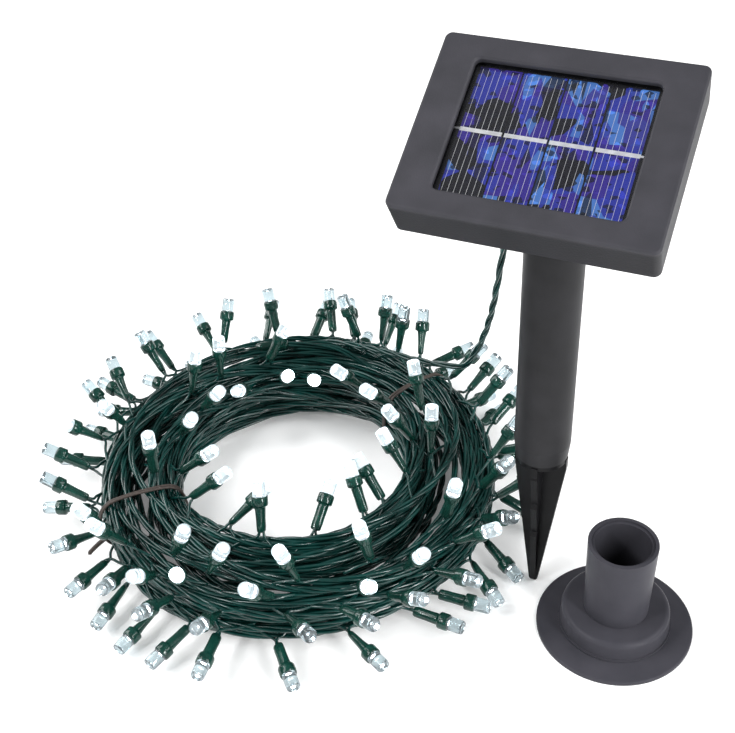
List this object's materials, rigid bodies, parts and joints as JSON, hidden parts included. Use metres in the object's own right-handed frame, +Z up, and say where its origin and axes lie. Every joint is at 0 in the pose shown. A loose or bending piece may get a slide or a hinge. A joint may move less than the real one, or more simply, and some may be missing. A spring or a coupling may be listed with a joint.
{
  "type": "solar string lights",
  "caption": "Solar powered string of white LED lamps wound in a ring, with a tilting solar panel on a tube with a ground stake, and a loose round mounting base.",
  "frame": {"origin": "tip of the ground stake, where it enters the soil", "axes": "+Z up the stake, X along the axis the solar panel tilts about, the panel faces -Y and up"},
  "size_m": [0.3039, 0.2333, 0.2401],
  "materials": {
    "housing_plastic": "fine moulded texture",
    "clear_cover": "clear resin",
    "solar_cell": "blue crystals",
    "silver_ribbon": "bright",
    "circuit_board": "green board",
    "black_rubber": "soft",
    "steel": "zinc plated",
    "battery_wrap": "shrink sleeve",
    "black_plastic": "satin",
    "tube_plastic": "satin",
    "white_plastic": "satin",
    "green_cable": "soft vinyl",
    "green_sleeve": "moulded vinyl",
    "clear_lens": "clear epoxy",
    "led_chip": "white light",
    "tie_wire": "paper covered"
  },
  "bodies": {
    "root": {"ground_stake": "black_plastic", "lead_cable": "green_cable", "light_coil": "green_cable", "lamp_holders": "green_sleeve", "led_lenses": "clear_lens", "led_dies": "led_chip", "coil_tie_front": "tie_wire", "coil_tie_back": "tie_wire", "string_end_cap": "green_sleeve"},
    "post": {"post_tube": "tube_plastic", "tilt_yoke": "black_plastic", "pivot_bolt": "steel", "pivot_washer": "steel"},
    "head": {"panel_bezel": "housing_plastic", "window_cover": "clear_cover", "solar_cells": "solar_cell", "cell_ribbons": "silver_ribbon", "cell_board": "black_plastic", "window_gasket": "black_rubber", "rear_cover": "housing_plastic", "housing_screws": "steel", "battery": "battery_wrap", "battery_contacts": "steel", "circuit_board": "circuit_board", "board_components": "black_plastic", "board_screws": "steel", "switch_body": "steel", "panel_leads": "black_rubber", "cable_strain_relief": "black_rubber"},
    "knob": {"tilt_knob": "black_plastic"},
    "switch": {"power_switch": "white_plastic"},
    "door": {"battery_door": "housing_plastic", "battery_door_screw": "steel"},
    "base": {"mounting_base": "tube_plastic"}
  },
  "joints": [
    {"name": "post_lift", "type": "slide", "parent": "root", "child": "post", "axis": [0, 0, 1], "range_m": [0, 0.045], "deforming": ["lead_cable"]},
    {"name": "panel_tilt", "type": "hinge", "parent": "post", "child": "head", "pos_m": [0, 0, 0.203], "axis": [1, 0, 0], "range_deg": [-29, 26]},
    {"name": "knob_turn", "type": "hinge", "parent": "post", "child": "knob", "pos_m": [0, 0, 0.203], "axis": [1, 0, 0], "range_deg": [0, 540]},
    {"name": "switch_slide", "type": "slide", "parent": "head", "child": "switch", "axis": [1, 0, 0], "range_m": [0, 0.0036]},
    {"name": "door_off", "type": "slide", "parent": "head", "child": "door", "axis": [0, 0.4848, -0.8746], "range_m": [0, 0.006]},
    {"name": "base_place", "type": "slide", "parent": "root", "child": "base", "axis": [1, 0, 0], "range_m": [0, 0.06]}
  ]
}
